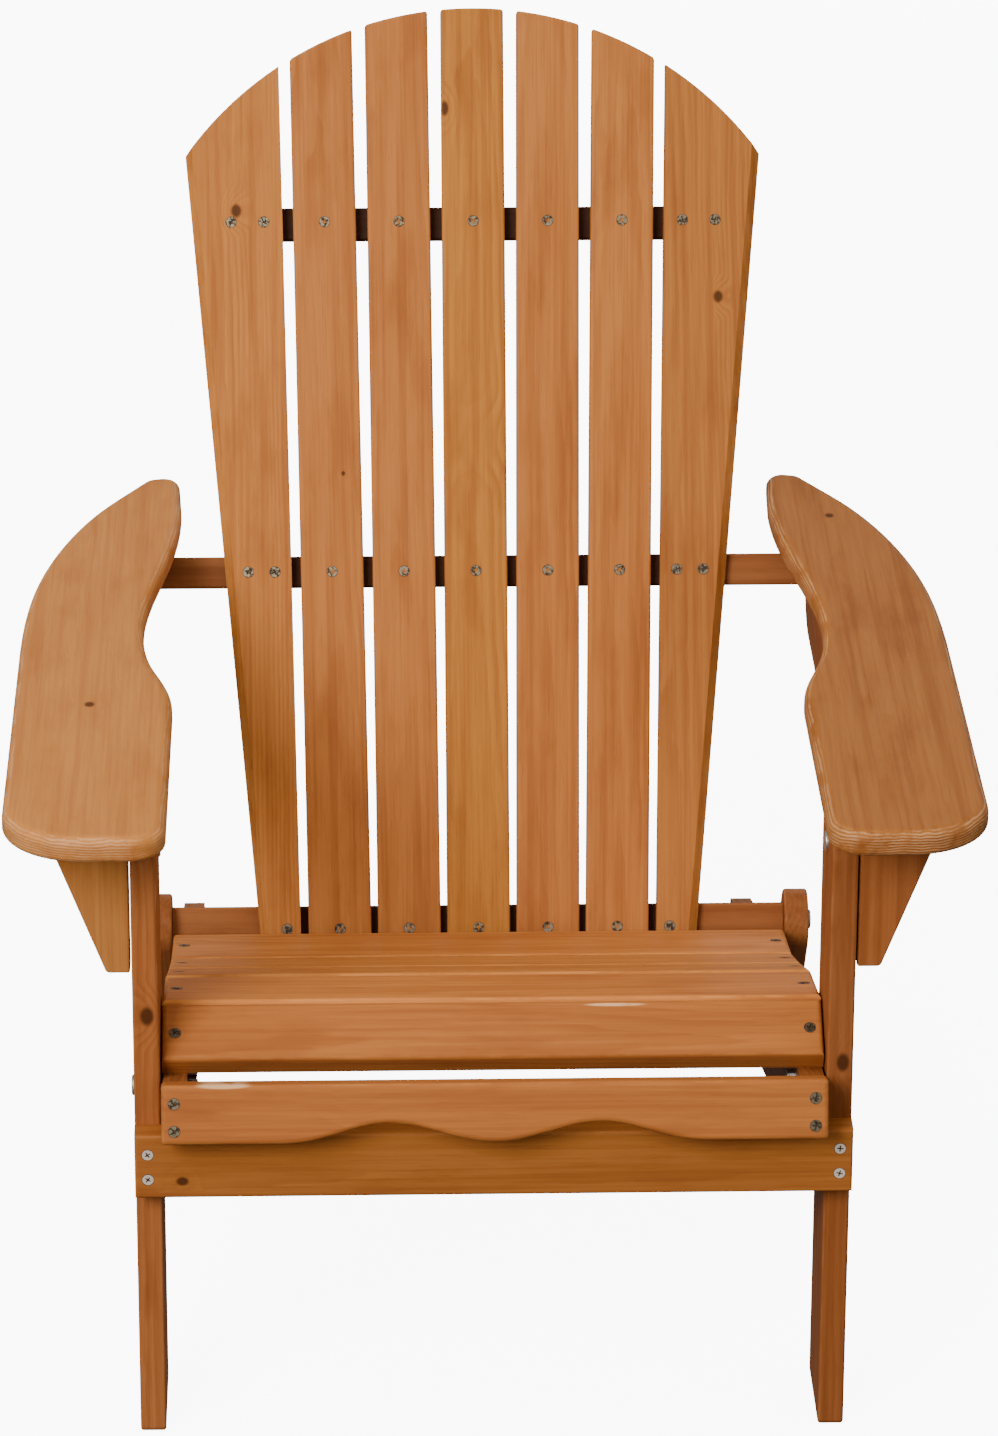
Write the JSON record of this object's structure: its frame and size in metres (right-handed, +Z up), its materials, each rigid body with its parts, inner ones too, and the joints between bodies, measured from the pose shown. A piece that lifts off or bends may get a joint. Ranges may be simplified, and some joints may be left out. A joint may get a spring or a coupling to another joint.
{
  "type": "folding adirondack chair",
  "caption": "Folding slatted garden armchair with a fan-shaped reclined back, a sloping contoured seat, broad paddle arms on square legs and a waved front apron.",
  "frame": {"origin": "centre of the footprint's bounding box, on the floor", "axes": "+Z up, +Y towards the back of the chair, so the sitter faces -Y; +X is on the right when the chair is seen from in front"},
  "size_m": [0.7316, 0.89, 0.9263],
  "materials": {
    "stained_fir": "light golden brown stain under a thin satin lacquer",
    "plain_dowel": "bare beech, hidden inside the joints",
    "dark_screw": "yellow zinc, dulled under the stain",
    "bright_screw": "bright zinc",
    "bolt_steel": "dull zinc plate"
  },
  "bodies": {
    "seat_frame": {"apron": "stained_fir", "apron_screws": "dark_screw", "left_seat_stringer": "stained_fir", "leg_pivot_bolts": "bolt_steel", "leg_pivot_nuts": "bolt_steel", "leg_pivot_washers": "bolt_steel", "link_pivot_bolts": "bolt_steel", "link_pivot_nuts": "bolt_steel", "link_pivot_washers": "bolt_steel", "nose_slat": "stained_fir", "right_seat_stringer": "stained_fir", "seat_slat_1": "stained_fir", "seat_slat_2": "stained_fir", "seat_slat_3": "stained_fir", "seat_slat_4": "stained_fir", "seat_slat_screws": "dark_screw"},
    "front_legs": {"arm_pivot_bolts": "bolt_steel", "front_stretcher": "stained_fir", "left_front_leg": "stained_fir", "right_front_leg": "stained_fir", "stretcher_screws": "bright_screw"},
    "back_links": {"left_back_link": "stained_fir", "right_back_link": "stained_fir"},
    "back": {"back_arm_bolts": "bolt_steel", "back_foot_bolts": "bolt_steel", "back_slat_1": "stained_fir", "back_slat_2": "stained_fir", "back_slat_3": "stained_fir", "back_slat_4": "stained_fir", "back_slat_5": "stained_fir", "back_slat_6": "stained_fir", "back_slat_7": "stained_fir", "bottom_back_rail": "stained_fir", "bottom_rail_screws": "dark_screw", "middle_back_rail": "stained_fir", "middle_rail_screws": "dark_screw", "top_back_rail": "stained_fir", "top_rail_screws": "dark_screw"},
    "right_arm": {"right_arm_board": "stained_fir", "right_arm_bracket": "stained_fir", "right_arm_dowels": "plain_dowel", "right_arm_pivot_nut": "bolt_steel", "right_arm_pivot_stud": "bolt_steel", "right_arm_pivot_washer": "bolt_steel", "right_arm_rail": "stained_fir"},
    "left_arm": {"left_arm_board": "stained_fir", "left_arm_bracket": "stained_fir", "left_arm_dowels": "plain_dowel", "left_arm_pivot_nut": "bolt_steel", "left_arm_pivot_stud": "bolt_steel", "left_arm_pivot_washer": "bolt_steel", "left_arm_rail": "stained_fir"}
  },
  "joints": [
    {"name": "front_leg_fold", "type": "hinge", "parent": "seat_frame", "child": "front_legs", "pos_m": [0, -0.309, 0.278], "axis": [1, 0, 0], "range_deg": [0, 72]},
    {"name": "back_link_fold", "type": "hinge", "parent": "seat_frame", "child": "back_links", "pos_m": [0, 0.18638, 0.11704], "axis": [-1, 0, 0], "range_deg": [0, 96.94]},
    {"name": "back_fold", "type": "hinge", "parent": "back_links", "child": "back", "pos_m": [0, 0.104, 0.222], "axis": [1, 0, 0], "range_deg": [0, 191.94]},
    {"name": "right_arm_fold", "type": "hinge", "parent": "back", "child": "right_arm", "pos_m": [0, 0.2177, 0.48987], "axis": [-1, 0, 0], "range_deg": [0, 103.25]},
    {"name": "left_arm_fold", "type": "hinge", "parent": "back", "child": "left_arm", "pos_m": [0, 0.2177, 0.48987], "axis": [-1, 0, 0], "range_deg": [0, 103.25]}
  ],
  "couplings": [
    {"joint": "back_link_fold", "follows": "front_leg_fold", "ratio": 1.3463},
    {"joint": "back_fold", "follows": "front_leg_fold", "ratio": 2.6657},
    {"joint": "right_arm_fold", "follows": "front_leg_fold", "ratio": 1.4339},
    {"joint": "left_arm_fold", "follows": "front_leg_fold", "ratio": 1.4339}
  ]
}
